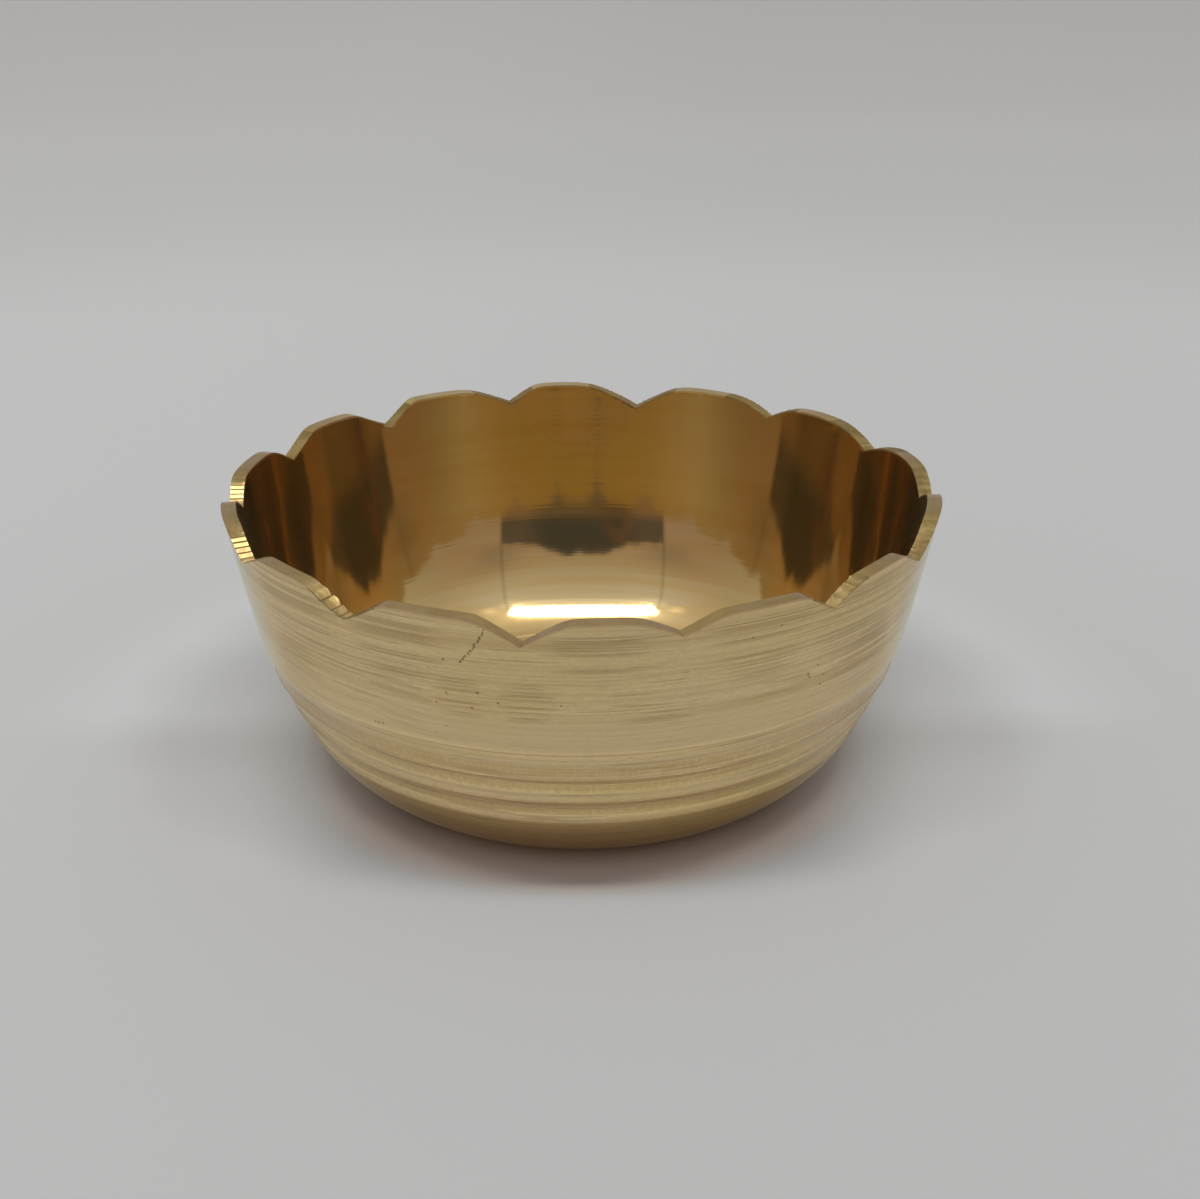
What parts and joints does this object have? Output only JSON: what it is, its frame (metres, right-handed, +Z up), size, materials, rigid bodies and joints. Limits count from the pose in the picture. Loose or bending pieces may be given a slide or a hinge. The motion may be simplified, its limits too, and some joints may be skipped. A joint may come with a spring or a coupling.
{
  "type": "offering bowl",
  "caption": "Small round turned brass bowl with a flat foot, stepped bands under a leaning wall and a scalloped, hand-filed rim; holds water, rice or incense as an offering.",
  "frame": {"origin": "centre of the flat face that the bowl rests on", "axes": "+Z up along the bowl's own axis, -Y to the front as pictured, +X to the right"},
  "size_m": [0.0897, 0.09, 0.0366],
  "materials": {
    "brass": "satin turned outside with filed rim notches, polished inside"
  },
  "bodies": {
    "root": {"bowl": "brass"}
  },
  "joints": []
}
